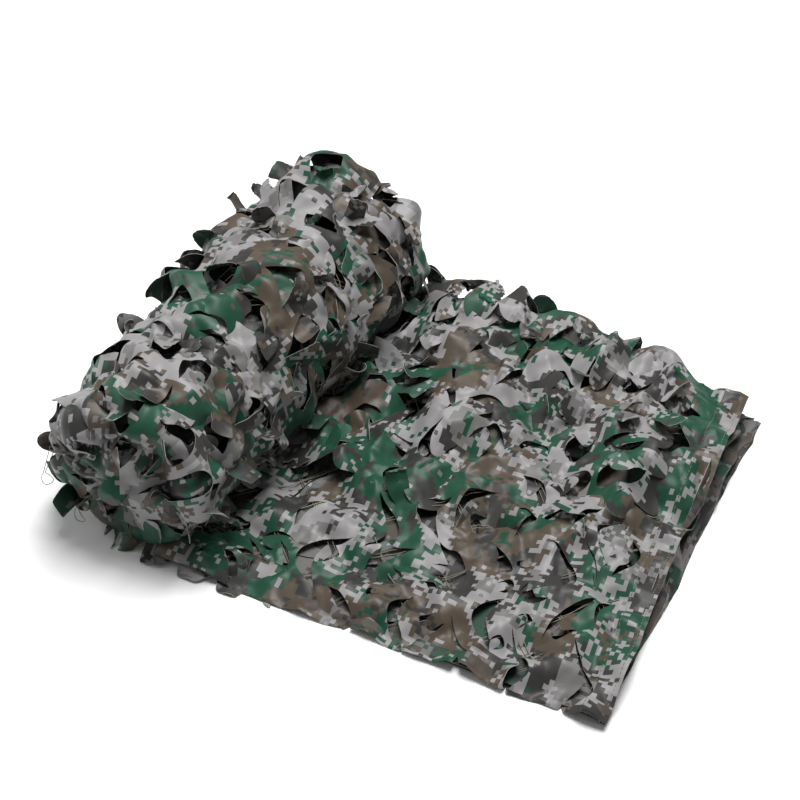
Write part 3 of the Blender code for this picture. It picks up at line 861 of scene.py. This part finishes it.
def top_layer_cuts(corners):
    """Listed cuts near the front, then rows of leaves over the ruffled part."""
    cuts = [near_cut(row, number) for number, row in enumerate(NEAR_CUTS)]
    rng = np.random.default_rng(41)
    (u0, _), (u1, v1) = corners
    field = ((u0, TOP_NEAR_FOLD), (u1 - HEM_WIDTH, v1))
    extra = []
    for middle, heading in leaf_rows(field, -35, LEAF_LONG, rng):
        soft = float(looseness(*middle))
        if soft > 0.08:
            extra.append(ruffled_cut(rng, middle, heading, LEAF_LONG, up, 0.6 * soft, 0.0, (4, 11)))
    for middle, heading in leaf_rows(field, 40, 0.6 * LEAF_LONG, rng):
        if looseness(*middle) < 0.3:
            extra.append(ruffled_cut(rng, middle, heading, 0.5 * LEAF_LONG, up, 0.3, 0.0, (6, 11)))
    return fit_cuts(cuts, extra, 5 * MM, field)


def under_cuts(corners, seed, tilt, size, steep, gape=(3, 8), out=up):
    """Leaves of a layer that shows only through the holes above it, or of a small piece."""
    rng = np.random.default_rng(seed)
    rows = leaf_rows(corners, tilt, size, rng)
    cuts = [ruffled_cut(rng, middle, heading, size, out, steep, 0.0, gape) for middle, heading in rows]
    return fit_cuts([], cuts, 6 * MM, corners)


def lower_layers(u, v, loose=1.0):
    """The three layers under the top one, v running back and forth through their folds."""
    legs = np.clip(np.floor(v / LAYER_LONG), 0, 2).astype(int)
    run = v - legs * LAYER_LONG
    y = np.where(legs % 2 == 0, run, LAYER_LONG - run) - LAYER_RIM
    skew = np.choose(legs, (16 * MM, 8 * MM, 0.0))
    trim = np.choose(legs, (9 * MM, 7 * MM, 5 * MM))
    x = u - (skew * smooth(1.3 * across_strip(y)) + trim) * ramp(u, 0.30, 0.2)
    shares = (0.56, 0.27, 0.0)  # of the pile's height, from the first layer to the one on the floor
    after = np.choose(np.minimum(legs + 1, 2), shares)
    before = np.choose(np.maximum(legs - 1, 0), shares)
    turn = ramp(run - LAYER_LONG, -8 * MM, 16 * MM) * (legs < 2)
    start_turn = (1 - ramp(run, -8 * MM, 16 * MM)) * (legs > 0)
    share = np.choose(legs, shares) * (1 - turn - start_turn) + after * turn + before * start_turn
    soft = looseness(x, y) * share
    edge = ramp(u, 0.45, 0.06)
    pile = pile_height(x, y)
    wave = waves(u, v, (6, 70, 21)) * soft
    wave = wave + 0.20 * pile * edge * (ripple(u, v, 26 * MM, 22) + 0.8 * crumple(u, v, 24))
    x = x + 7 * MM * edge * loose * ripple(u, v, 30 * MM, 23) * (0.3 + soft)
    z = np.minimum(share * pile + wave * loose + 0.6 * MM, top_layer(u, y)[:, 2] - LAYER_GAP)
    return np.column_stack((x, y, np.maximum(z, 0.4 * MM)))


def side_depth(u):
    """How much cloth hangs at the strip's end, from its near corner to its far one."""
    return 16 * MM + 30 * MM * smooth(1.3 * u / SIDE_LONG)


def side_fold(u, v, loose=1.0):
    """The lower layers' ends, folded over and hanging from under the hem to the floor.

    u runs along the hem from the near corner and v down. The layers show as ridges along it.
    """
    share = np.clip(v / side_depth(u), 0, 1.2)
    y = u - 0.246
    hem = top_layer(np.full(u.shape, LOOSE_END), np.maximum(y, TOP_NEAR_FOLD), 0.0)
    foot = LOOSE_END - 3 * MM + 4 * MM * facets(u, 0 * v, 50 * MM, 26) * loose
    x = hem[:, 0] - 8 * MM + (foot - hem[:, 0] + 8 * MM) * np.minimum(share, 1.05)
    z = (hem[:, 2] - 2.5 * MM) * np.clip(1 - share, 0, 1)
    layers = 5 * MM * np.sin(share * 3.2 * math.pi + 2 * ripple(u, 0 * v, 70 * MM, 29)) - 2 * MM
    fold = (layers + 13 * MM * facets(u, 1.6 * v, 24 * MM, 27)) * np.sin(np.clip(share, 0, 1) * math.pi)
    bulge = (0.25 + u / SIDE_LONG) * fold * loose
    return np.column_stack((x + 0.8 * bulge, y, np.maximum(z + 0.6 * bulge, 0.6 * MM)))


# ---- the roll


def roll_free(angle):
    """0 under the roll, where its weight presses it to the floor, to 1 over its top."""
    return smooth(0.75 * (1 + np.sin(angle)) - 0.12)


def roll_surface(inset, ruffle, seed):
    """A turn of the roll: u round it from the floor, right side first, v along it and in at its ends."""

    def place(u, v, loose=1.0):
        angle = -math.pi / 2 + u / ROLL_RADIUS
        past = np.maximum(0.0, np.abs(v) - ROLL_STRAIGHT)
        bend = np.minimum(past / END_BEND, math.pi / 2)
        inward = END_BEND * (1 - np.cos(bend)) + np.maximum(0.0, past - END_BEND * math.pi / 2)
        y = np.sign(v) * (np.minimum(np.abs(v), ROLL_STRAIGHT) + END_BEND * np.sin(bend))
        free = roll_free(angle)
        swell = FAR_SWELL * ramp(y, -LAYER_RIM, LAYER_LONG)
        lump = ROLL_LUMP * ripple(angle * ROLL_RADIUS, y, LUMP_SIZE, 1)
        wave = ruffle * (ripple(u, v, 56 * MM, seed) + 0.35 * ripple(u, v, 28 * MM, seed + 1)) * loose
        packing = ROLL_PACKING * crumple(u, v, seed + 2) * loose
        out = (wave + packing) * (0.3 + 0.7 * free)
        radius = ROLL_RADIUS - inset + free * (swell + lump) + out * np.cos(bend) - inward
        y = y + np.sign(v) * out * np.sin(bend) + free * 5 * MM * ripple(u, v, 70 * MM, seed + 4) * loose
        radius = np.maximum(radius, END_CORE)
        height = AXIS_HEIGHT + radius * np.sin(angle)
        return np.column_stack((radius * np.cos(angle), y, np.maximum(height, 0.4 * MM)))

    return place


def roll_out(u, v):
    """Straight out of the roll at a place on its cloth."""
    angle = -math.pi / 2 + u / ROLL_RADIUS
    bend = min(max(0.0, abs(v) - ROLL_STRAIGHT) / END_BEND, math.pi / 2)
    out = math.cos(bend)
    return np.array((math.cos(angle) * out, math.copysign(math.sin(bend), v), math.sin(angle) * out))


def outside_roll(inset):
    """Keeps a turn's cloth off the turns inside it and off the floor."""

    def keep(place):
        place[:, 1] = np.clip(place[:, 1], *END_LIMITS)
        place[:, 2] = np.maximum(place[:, 2], FLOOR_GAP)
        height = place[:, 2] - AXIS_HEIGHT
        radius = np.maximum(np.hypot(place[:, 0], height), 1e-6)
        within = np.abs(place[:, 1]) < ROLL_STRAIGHT
        least = np.where(within, ROLL_RADIUS - inset, 0.0) * np.clip(height / ROLL_RADIUS + 0.9, 0, 1)
        reach = LEAF_REACH - 14 * MM * np.clip(1 - height / ROLL_RADIUS, 0, 1)
        push = np.minimum(np.maximum(radius, least), reach) / radius
        place[:, 0] *= push
        place[:, 2] = AXIS_HEIGHT + height * push
        return place

    return keep


def roll_cuts(seed, corners, tilt, long, steep, gape):
    """Leaves over the roll. Those on its sides hang down, those that point up fold over."""
    rng = np.random.default_rng(seed)
    cuts = []
    for middle, heading in leaf_rows(corners, tilt, long, rng):
        angle = -math.pi / 2 + middle[0] / ROLL_RADIUS
        size = long
        if rng.random() < 0.2:
            heading += 80
            size = 0.7 * long
        down = 180.0 if math.cos(angle) > 0 else 0.0
        climbs = -math.cos(math.radians(heading - down)) * abs(math.cos(angle))
        flop = math.radians(60) * max(0.0, climbs)
        stands = steep * (0.3 + 0.7 * float(ramp(math.sin(angle), -0.8, 0.5)))
        cuts.append(ruffled_cut(rng, middle, heading, size, roll_out, stands, flop, gape))
    return fit_cuts([], cuts, 5 * MM, corners)


COIL_OUTSIDE = 66 * MM
COIL_PITCH = 12 * MM
COIL_TURNS = 4


def end_coils(end):
    """The strip's inner turns where they show at one end of the roll, u along the coil, v outwards."""
    turn = np.linspace(0, COIL_TURNS * 2 * math.pi, 400)
    radii = COIL_OUTSIDE - COIL_PITCH * turn[1:] / 2 / math.pi
    run = np.concatenate(([0], np.cumsum(np.diff(turn) * radii)))

    def place(u, v, loose=1.0):
        angle = np.interp(u, run, turn)
        wave = waves(u, v, (6, 32, 51 + end), (3, 16, 53)) * loose
        radius = COIL_OUTSIDE - COIL_PITCH * angle / 2 / math.pi + wave
        y = end * (0.187 + v + 0.6 * wave + 5 * MM * ripple(u, 0.0, 60 * MM, 55) * loose)
        return np.column_stack((radius * np.cos(angle), y, AXIS_HEIGHT + radius * np.sin(angle)))

    return place, run[-1]


def end_folds(end):
    """Garnish that has slipped over one end of the roll, u along X and v up, its middle standing out."""

    def place(u, v, loose=1.0):
        far_out = np.hypot(u, v) / (78 * MM)
        wave = (waves(u, v, (18, 40, 57 + end)) + 11 * MM * crumple(u, v, 58)) * loose
        y = end * (0.254 - 32 * MM * far_out**2 + wave)
        return np.column_stack((u, y, np.maximum(AXIS_HEIGHT - 2 * MM + v, 3 * MM)))

    return place


# ---- loose garnish on the strip


def bunched_folds(u, v, loose=1.0):
    """Garnish bunched up over the strip's far half, which dips into the layer below at its edges."""
    base = top_layer(u, v, 0.4 * loose)
    soft = looseness(base[:, 0], base[:, 1])
    rim = ramp(u, 0.505, -0.06) * ramp(v, 0.245, -0.03) * ramp(u, 0.05, 0.04)
    lift = (17 * MM * soft**1.5 - 8 * MM) * rim - 7 * MM * (1 - rim)
    wave = (waves(u, v, (24, 54, 41)) + 11 * MM * crumple(u, v, 43)) * soft * rim * loose
    base[:, 2] = np.maximum(base[:, 2] + lift + wave, 2 * MM)
    return base


def near_flaps(u, v, loose=1.0):
    """Garnish that hangs over the strip's near fold beside the roll, down to the floor and out."""
    fall = smooth(v / (55 * MM))
    y = -0.212 - 46 * MM * smooth(v / (64 * MM)) - 0.2 * np.maximum(0.0, v - 50 * MM)
    z = (13 * MM + 17 * MM * ramp(u, 0.09, -0.06)) * (1 - fall) + 2 * MM
    wave = waves(u, v, (7, 34, 61), (3, 17, 62)) * loose
    return np.column_stack((u + 0.4 * wave, y + 0.8 * wave, np.maximum(z + 0.9 * wave, 1 * MM)))


def far_ruffles(u, v, loose=1.0):
    """Garnish bunched up along the strip's far fold, where it leaves the roll."""
    rise = np.sin(np.clip(v / (95 * MM), 0, 1) * math.pi)
    y = 0.188 + 0.072 * smooth(v / (90 * MM)) + 0.012 * rise
    base = pile_height(u, np.full(u.shape, 0.21)) * (1 - 0.75 * ramp(v, 60 * MM, 50 * MM))
    wave = (waves(u, v, (13, 40, 71)) + 9 * MM * crumple(u, v, 72)) * loose
    z = base + (24 * MM * rise) * (1 - ramp(u, 0.22, 0.12)) + 3 * MM + 0.8 * wave
    return np.column_stack((u + 0.3 * wave, y + 0.5 * wave, np.maximum(z, 2 * MM)))


# ---- strings and stitches


def tube(points, radius, sides):
    """A thin round string along points: its vertices and faces, with closed ends."""
    points = np.asarray(points, float)
    along = np.gradient(points, axis=0)
    along /= np.linalg.norm(along, axis=1)[:, None]
    lean = np.where(np.abs(along[:, 2:]) > 0.9, (1.0, 0.0, 0.0), (0.0, 0.0, 1.0))
    side = np.cross(along, lean)
    side /= np.linalg.norm(side, axis=1)[:, None]
    top = np.cross(side, along)
    turn = np.arange(sides) * 2 * math.pi / sides
    rings = points[:, None] + radius * (
        np.cos(turn)[None, :, None] * side[:, None] + np.sin(turn)[None, :, None] * top[:, None]
    )
    faces = []
    for ring in range(len(points) - 1):
        for k in range(sides):
            a, b = ring * sides + k, ring * sides + (k + 1) % sides
            faces.append((a, a + sides, b + sides, b))
    faces.append(tuple(range(sides)))
    last = (len(points) - 1) * sides
    faces.append(tuple(last + k for k in reversed(range(sides))))
    return rings.reshape(-1, 3), faces


def string_piece(name, lines, radius, sides, material):
    """Strings as one piece."""
    verts, faces = [], []
    for line in lines:
        first = sum(len(v) for v in verts)
        ring, quads = tube(line, radius, sides)
        verts.append(ring)
        faces += [tuple(first + k for k in quad) for quad in quads]
    data = bpy.data.meshes.new(name)
    data.from_pydata(np.vstack(verts), [], faces)
    data.materials.append(material)
    mesh = bmesh.new()
    mesh.from_mesh(data)
    bmesh.ops.recalc_face_normals(mesh, faces=mesh.faces)
    for face in mesh.faces:
        face.smooth = len(face.verts) == 4
    mesh.to_mesh(data)
    mesh.free()
    return placed(name, data)


def net_lines(corners, surface, seed):
    """The diamond net's strings, two side by side and a little slack, over a piece of cloth."""
    (u0, v0), (u1, v1) = corners
    rng = np.random.default_rng(seed)
    lines = []
    for slope in (1, -1):
        for start in np.arange(v0 - (u1 - u0), v1 + (u1 - u0), NET_PITCH):
            for strand in (-1, 1):
                u = np.arange(u0, u1, 6 * MM)
                place = rng.uniform(0, 9)
                v = start + slope * (u - u0) + strand * 1.6 * MM
                v = v + 9 * MM * ripple(u, place, 48 * MM, seed)
                keep = (v > v0) & (v < v1)
                if keep.sum() >= 6:
                    lines.append(above_floor(surface(u[keep], v[keep])))
    return lines


def loop_line(centre, size, turn):
    """A small round loop of string whose ends go back into the garnish."""
    angle = np.linspace(-0.6 * math.pi, 1.25 * math.pi, 22)
    flat = np.column_stack((np.cos(angle), 0.25 * np.sin(2 * angle), -1.25 * np.sin(angle) - 0.2))
    spin = np.array(((math.cos(turn), -math.sin(turn), 0), (math.sin(turn), math.cos(turn), 0), (0, 0, 1)))
    ends = np.array(((0.4, 5.5, 2.2), (-0.5, 5.5, 2.4)))
    loop = np.vstack((ends[0], flat, ends[1]))
    return np.array(centre) + size * loop @ spin.T


def hem_stitches():
    """Two rows of lockstitch along the hem, each stitch 3.4 mm long."""
    lines = []
    for u in (LOOSE_END - HEM_WIDTH + 3 * MM, LOOSE_END - 5 * MM):
        for v in np.arange(TOP_NEAR_FOLD + 4 * MM, LAYER_RIM - 5 * MM, STITCH_PITCH):
            ends = top_layer(np.full(4, u), v + np.array((0.0, 0.9, 2.5, 3.4)) * MM)
            ends[:, 2] += np.array((-0.3, 0.45, 0.45, -0.3)) * MM
            lines.append(ends)
    return lines


# ---- camera, floor and light


def camera_and_light():
    cam = bpy.data.cameras.new("camera")
    cam.sensor_width = 36
    cam.lens = 73.6
    holder = placed("camera", cam)
    holder.location = (0.807, -1.209, 1.185)
    holder.rotation_euler = (math.radians(90 - 39), 0, math.radians(27))  # looks 39 degrees down
    bpy.context.scene.camera = holder
    bpy.context.scene.view_settings.view_transform = "Standard"

    bpy.ops.mesh.primitive_plane_add(size=12, location=(0, 0, 0))
    floor = bpy.context.object
    floor.name = "floor"
    floor.data.materials.append(studio_floor())

    aim = Vector((0.2, 0.0, 0.05))
    for name, place, size, power in (
        ("top_softbox", (0.17, 0.58, 2.7), 1.5, 105),
        ("left_softbox", (-2.0, -0.3, 1.2), 1.2, 12),
    ):
        lamp = bpy.data.lights.new(name, "AREA")
        lamp.size = size
        lamp.energy = power
        holder = placed(name, lamp)
        holder.location = place
        holder.rotation_euler = (aim - Vector(place)).to_track_quat("-Z", "Y").to_euler()
    world = bpy.data.worlds.new("studio")
    world.use_nodes = True
    sky = world.node_tree.nodes["Background"]
    sky.inputs["Color"].default_value = linear("#ffffff")
    sky.inputs["Strength"].default_value = 0.19
    bpy.context.scene.world = world


# ---- build


def lay_cloth(piece, stands_for):
    """Tells the frame what a piece of garnish is: where it rides and what it replaces."""
    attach(piece, "root")
    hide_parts(stands_for)


def loose_end(cloth):
    corners = ((STRIP_START, TOP_NEAR_FOLD - TUCK), (LOOSE_END, LAYER_RIM))
    cuts = top_layer_cuts(corners)
    top = make_cloth("garnish_top_layer", top_layer, corners, cuts, 2.8 * MM, 3, cloth, low_pile)
    lay_cloth(top, "garnish_loose_end")

    corners = ((STRIP_START, 0.0), (LOOSE_END, 3 * LAYER_LONG))
    first_layer = ((STRIP_START, 0.0), (LOOSE_END, LAYER_LONG - 0.02))
    cuts = under_cuts(first_layer, 7, 20, LEAF_LONG, 0.0)
    lower = make_cloth(
        "garnish_lower_layers", lower_layers, corners, cuts, 6.0 * MM, 8, cloth, above_floor,
        (0.9, 0.4), rounds=0, print_up=False,
    )
    lay_cloth(lower, "garnish_loose_end")

    corners = ((0.055, -0.10), (0.50, 0.246))
    cuts = under_cuts(corners, 33, 62, 50 * MM, 0.6, (6, 14))
    rim = cloth_rim(corners, 3.0 * MM, EVERY_SIDE, 40 * MM, 46 * MM, 8)
    folds = make_cloth(
        "garnish_bunched_folds", bunched_folds, corners, cuts, 3.0 * MM, 12, cloth, low_pile,
        (8.3, 2.2), rim=rim,
    )
    lay_cloth(folds, "garnish_loose_end")

    corners = ((0.0, 0.0), (SIDE_LONG, SIDE_DEEP))
    rim = cloth_rim(corners, 3.2 * MM)
    rim[:, 1] *= side_depth(rim[:, 0]) / SIDE_DEEP
    side = make_cloth(
        "garnish_side_fold", side_fold, corners, [], 3.2 * MM, 14, cloth, above_floor,
        (1.1, 3.2), 20, rim=rim,
    )
    lay_cloth(side, "garnish_loose_end")

    corners = ((-0.03, 0.0), (0.18, 0.085))
    cuts = under_cuts(corners, 15, 70, 36 * MM, 0.8)
    rim = even_steps(rounded_line(NEAR_FLAP_OUTLINE), 3 * MM)[:-1]
    flaps = make_cloth(
        "garnish_near_flaps", near_flaps, corners, cuts, 3.0 * MM, 9, cloth, above_floor,
        (5.3, 0.4), 40, print_up=False, rim=rim,
    )
    lay_cloth(flaps, "garnish_loose_end")

    corners = ((0.045, 0.0), (0.37, 0.11))
    cuts = under_cuts(corners, 19, 60, 50 * MM, 0.5)
    rim = cloth_rim(corners, 3.2 * MM, (0, 2), 30 * MM, 38 * MM, 6)
    ruffles = make_cloth(
        "garnish_far_ruffles", far_ruffles, corners, cuts, 3.2 * MM, 10, cloth, low_pile,
        (6.3, 1.4), 40, rim=rim,
    )
    lay_cloth(ruffles, "garnish_loose_end")


def rolled_part(cloth):
    half = ROLL_STRAIGHT + END_REACH
    whole = ((-4 * MM, -half), (ROLL_ROUND + 4 * MM, half))
    over = ((0.09, -half - 28 * MM), (0.50, half))
    # name, corners, inset, ruffle, seed, mesh step, ragged sides, print out, place in the print, and its
    # leaves: tilt of their rows, length, how steep they stand and the least and most that they gape
    turns = (
        (
            "garnish_loose_folds", over, -7 * MM, 17 * MM, 47, 3.1 * MM, EVERY_SIDE, False, (9.3, 6.1),
            (68, 48 * MM, 0.8, (8, 17)),
        ),
        (
            "garnish_outer_turn", whole, 0.0, 15 * MM, 31, 3.1 * MM, (0, 2), False, (17.9, 9.3),
            (8, 52 * MM, 0.8, (7, 17)),
        ),
        (
            "garnish_second_turn", whole, 19 * MM, 11 * MM, 37, 4.6 * MM, (0, 2), True, (4.1, 2.7),
            (-28, 57 * MM, 0.5, (4, 10)),
        ),
        ("garnish_third_turn", whole, 34 * MM, 9 * MM, 43, 6.5 * MM, (), False, (3.1, 4.7), None),
    )
    for name, corners, inset, ruffle, seed, step, ragged, print_up, uv_place, leaves in turns:
        cuts = roll_cuts(seed + 20, corners, *leaves) if leaves else []
        turn = make_cloth(
            name, roll_surface(inset, ruffle, seed), corners, cuts, step, seed, cloth,
            outside_roll(inset + 10 * MM), uv_place, print_up=print_up,
            rim=cloth_rim(corners, step, ragged, 26 * MM, 42 * MM, 2),
        )
        (u0, v0), (u1, v1) = corners
        lay_cloth(turn, "garnish_roll")


def coils(cloth):
    for end, name in ((-1, "garnish_near_coils"), (1, "garnish_far_coils")):
        surface, length = end_coils(end)
        corners = ((0.0, 0.0), (length, 56 * MM))
        cuts = under_cuts(corners, 25 + end, 50, 38 * MM, 0.7)
        coil = make_cloth(
            name, surface, corners, cuts, 4 * MM, 13 + end, cloth, above_floor,
            (7.3, 3.4), 30, print_up=end > 0,
            rim=cloth_rim(corners, 4 * MM, (2,), 16 * MM, 40 * MM, 12 + end),
        )
        lay_cloth(coil, "garnish_roll")

    corners = ((-0.08, -0.078), (0.08, 0.078))
    for end, name in ((-1, "garnish_near_end_folds"), (1, "garnish_far_end_folds")):
        outward = np.array((0.0, end, 0.0))
        cuts = under_cuts(corners, 45 + end, 40, 44 * MM, 0.7, (5, 11), lambda u, v: outward)
        folds = make_cloth(
            name, end_folds(end), corners, cuts, 3.4 * MM, 17 + end, cloth, outside_roll(ROLL_RADIUS),
            (5.3, 7.4), print_up=end < 0,
            rim=cloth_rim(corners, 3.4 * MM, EVERY_SIDE, 26 * MM, 38 * MM, 16 + end),
        )
        lay_cloth(folds, "garnish_roll")


def under_top_layer(u, v):
    """Where the net's strings run in the strip."""
    return top_layer(u, v, 0.6) - np.array((0, 0, LAYER_GAP))


def strings(string):
    round_roll = ((4 * MM, -0.232), (ROLL_ROUND - 4 * MM, 0.232))
    lines = net_lines(round_roll, roll_surface(5 * MM, 11 * MM, 31), 81)
    lines += net_lines(((0.05, -0.235), (0.495, 0.235)), under_top_layer, 82)
    lines.append(loop_line((-0.079, -0.262, 0.074), 6 * MM, 0.4))
    lines.append(loop_line((-0.043, -0.264, 0.041), 7.5 * MM, -0.3))
    net = string_piece("knotted_string_net", lines, STRING_RADIUS, 3, string)
    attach(net, "root")
    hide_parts("string_net")
    stitches = string_piece("hem_stitches", hem_stitches(), 0.35 * MM, 5, string)
    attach(stitches, "root")


def main():
    camera_and_light()
    face = oxford_cloth("printed_oxford_cloth", PRINT_COLOURS, 0.44, 0.85)
    # The back's material: its duller print, darkened further as painted shade.
    reverse_and_shade = oxford_cloth("oxford_cloth_reverse_and_painted_shade", REVERSE_AND_SHADE_COLOURS, 0.6, 0.5)
    cloth = (face, reverse_and_shade, cut_edge_cloth())
    loose_end(cloth)
    rolled_part(cloth)
    coils(cloth)
    strings(polyester_string())


main()
